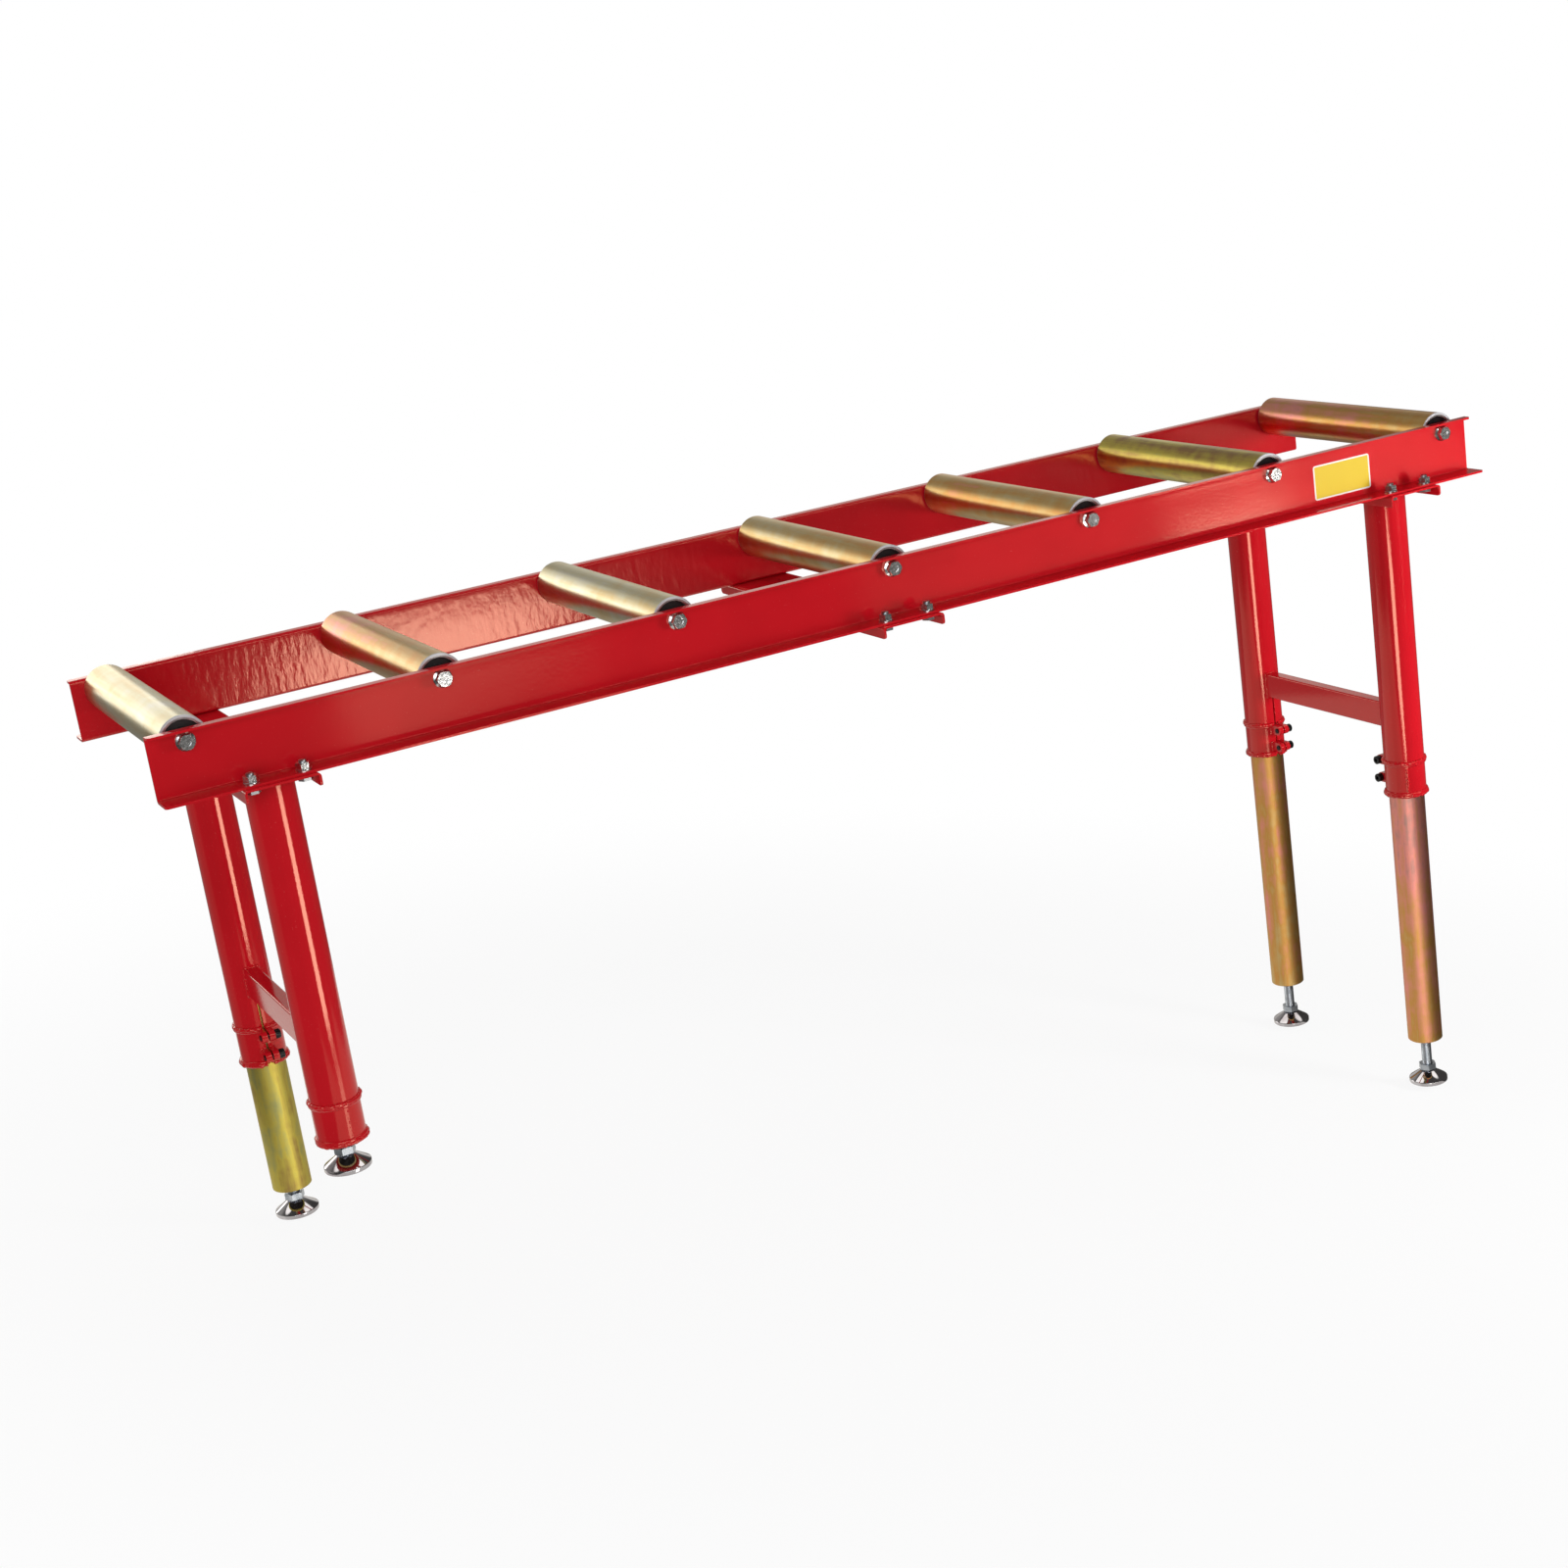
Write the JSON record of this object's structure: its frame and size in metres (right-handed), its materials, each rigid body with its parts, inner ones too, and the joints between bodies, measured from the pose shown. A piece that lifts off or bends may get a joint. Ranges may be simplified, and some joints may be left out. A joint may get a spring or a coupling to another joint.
{
  "type": "roller conveyor",
  "caption": "Height-adjustable roller conveyor: free rollers between two sheet-steel rails, on telescopic legs with clamps and levelling feet.",
  "frame": {"origin": "midway between the ends of the bed and between its two rails, level with the undersides of the two right feet, which are the lowest", "axes": "+X along the bed from the left end to the right end of the picture, +Y across it from the near rail to the far rail, +Z square to the bed and up along the legs"},
  "size_m": [2, 0.5, 1.0655],
  "materials": {
    "red_paint": "glossy red powder coat with a faint orange peel",
    "roller_plating": "yellow chromated zinc, iridescent, drawn lengthwise",
    "leg_plating": "yellow chromated zinc, iridescent, satin",
    "bearing_seal": "dark sealed bearing in a plain steel cup",
    "axle_steel": "bright drawn steel",
    "bright_zinc": "bright zinc plate",
    "black_oxide": "black oxide, lightly oiled",
    "spindle_zinc": "bluish zinc plate",
    "foot_chrome": "polished turned steel",
    "label_film": "bare yellow film with a white border"
  },
  "bodies": {
    "bed_frame": {"near_rail": "red_paint", "far_rail": "red_paint", "left_channel": "red_paint", "middle_channel": "red_paint", "right_channel": "red_paint", "left_crossbar": "red_paint", "right_crossbar": "red_paint", "clamp_lugs": "red_paint", "roller_axles": "axle_steel", "roller_bolts": "bright_zinc", "frame_bolts": "bright_zinc", "frame_washers": "bright_zinc", "frame_nuts": "bright_zinc", "clamp_screws": "black_oxide", "blank_label": "label_film", "near_left_leg": "red_paint", "near_left_clamp_sleeve": "red_paint", "far_left_leg": "red_paint", "far_left_clamp_sleeve": "red_paint", "near_right_leg": "red_paint", "near_right_clamp_sleeve": "red_paint", "far_right_leg": "red_paint", "far_right_clamp_sleeve": "red_paint"},
    "roller_1": {"roller_tube_1": "roller_plating", "roller_bearings_1": "bearing_seal"},
    "roller_2": {"roller_tube_2": "roller_plating", "roller_bearings_2": "bearing_seal"},
    "roller_3": {"roller_tube_3": "roller_plating", "roller_bearings_3": "bearing_seal"},
    "roller_4": {"roller_tube_4": "roller_plating", "roller_bearings_4": "bearing_seal"},
    "roller_5": {"roller_tube_5": "roller_plating", "roller_bearings_5": "bearing_seal"},
    "roller_6": {"roller_tube_6": "roller_plating", "roller_bearings_6": "bearing_seal"},
    "roller_7": {"roller_tube_7": "roller_plating", "roller_bearings_7": "bearing_seal"},
    "near_left_inner_leg": {"near_left_inner_tube": "leg_plating", "near_left_tube_plug": "leg_plating"},
    "near_left_levelling_screw": {"near_left_spindle": "spindle_zinc", "near_left_foot_nut": "spindle_zinc"},
    "near_left_foot_plate": {"near_left_foot": "foot_chrome"},
    "far_left_inner_leg": {"far_left_inner_tube": "leg_plating", "far_left_tube_plug": "leg_plating"},
    "far_left_levelling_screw": {"far_left_spindle": "spindle_zinc", "far_left_foot_nut": "spindle_zinc"},
    "far_left_foot_plate": {"far_left_foot": "foot_chrome"},
    "near_right_inner_leg": {"near_right_inner_tube": "leg_plating", "near_right_tube_plug": "leg_plating"},
    "near_right_levelling_screw": {"near_right_spindle": "spindle_zinc", "near_right_foot_nut": "spindle_zinc"},
    "near_right_foot_plate": {"near_right_foot": "foot_chrome"},
    "far_right_inner_leg": {"far_right_inner_tube": "leg_plating", "far_right_tube_plug": "leg_plating"},
    "far_right_levelling_screw": {"far_right_spindle": "spindle_zinc", "far_right_foot_nut": "spindle_zinc"},
    "far_right_foot_plate": {"far_right_foot": "foot_chrome"}
  },
  "joints": [
    {"name": "roller_1_spin", "type": "hinge", "parent": "bed_frame", "child": "roller_1", "pos_m": [-0.954, 0, 1.0355], "axis": [0, 1, 0], "continuous": true},
    {"name": "roller_2_spin", "type": "hinge", "parent": "bed_frame", "child": "roller_2", "pos_m": [-0.636, 0, 1.0355], "axis": [0, 1, 0], "continuous": true},
    {"name": "roller_3_spin", "type": "hinge", "parent": "bed_frame", "child": "roller_3", "pos_m": [-0.318, 0, 1.0355], "axis": [0, 1, 0], "continuous": true},
    {"name": "roller_4_spin", "type": "hinge", "parent": "bed_frame", "child": "roller_4", "pos_m": [0, 0, 1.0355], "axis": [0, 1, 0], "continuous": true},
    {"name": "roller_5_spin", "type": "hinge", "parent": "bed_frame", "child": "roller_5", "pos_m": [0.318, 0, 1.0355], "axis": [0, 1, 0], "continuous": true},
    {"name": "roller_6_spin", "type": "hinge", "parent": "bed_frame", "child": "roller_6", "pos_m": [0.636, 0, 1.0355], "axis": [0, 1, 0], "continuous": true},
    {"name": "roller_7_spin", "type": "hinge", "parent": "bed_frame", "child": "roller_7", "pos_m": [0.954, 0, 1.0355], "axis": [0, 1, 0], "continuous": true},
    {"name": "near_left_leg_height", "type": "slide", "parent": "bed_frame", "child": "near_left_inner_leg", "axis": [0, 0, -1], "range_m": [0, 0.42]},
    {"name": "near_left_foot_screw", "type": "slide", "parent": "near_left_inner_leg", "child": "near_left_levelling_screw", "axis": [0, 0, -1], "range_m": [-0.0095, 0.05]},
    {"name": "near_left_foot_tilt", "type": "hinge", "parent": "near_left_levelling_screw", "child": "near_left_foot_plate", "pos_m": [-0.8625, -0.176, 0.459], "axis": [0, 1, 0], "range_deg": [-10, 10]},
    {"name": "far_left_leg_height", "type": "slide", "parent": "bed_frame", "child": "far_left_inner_leg", "axis": [0, 0, -1], "range_m": [-0.191, 0.229]},
    {"name": "far_left_foot_screw", "type": "slide", "parent": "far_left_inner_leg", "child": "far_left_levelling_screw", "axis": [0, 0, -1], "range_m": [-0.0095, 0.05]},
    {"name": "far_left_foot_tilt", "type": "hinge", "parent": "far_left_levelling_screw", "child": "far_left_foot_plate", "pos_m": [-0.8625, 0.176, 0.268], "axis": [0, 1, 0], "range_deg": [-10, 10]},
    {"name": "near_right_leg_height", "type": "slide", "parent": "bed_frame", "child": "near_right_inner_leg", "axis": [0, 0, -1], "range_m": [-0.413, 0.007]},
    {"name": "near_right_foot_screw", "type": "slide", "parent": "near_right_inner_leg", "child": "near_right_levelling_screw", "axis": [0, 0, -1], "range_m": [-0.0435, 0.016]},
    {"name": "near_right_foot_tilt", "type": "hinge", "parent": "near_right_levelling_screw", "child": "near_right_foot_plate", "pos_m": [0.8625, -0.176, 0.012], "axis": [0, 1, 0], "range_deg": [-10, 10]},
    {"name": "far_right_leg_height", "type": "slide", "parent": "bed_frame", "child": "far_right_inner_leg", "axis": [0, 0, -1], "range_m": [-0.413, 0.007]},
    {"name": "far_right_foot_screw", "type": "slide", "parent": "far_right_inner_leg", "child": "far_right_levelling_screw", "axis": [0, 0, -1], "range_m": [-0.0435, 0.016]},
    {"name": "far_right_foot_tilt", "type": "hinge", "parent": "far_right_levelling_screw", "child": "far_right_foot_plate", "pos_m": [0.8625, 0.176, 0.012], "axis": [0, 1, 0], "range_deg": [-10, 10]}
  ]
}
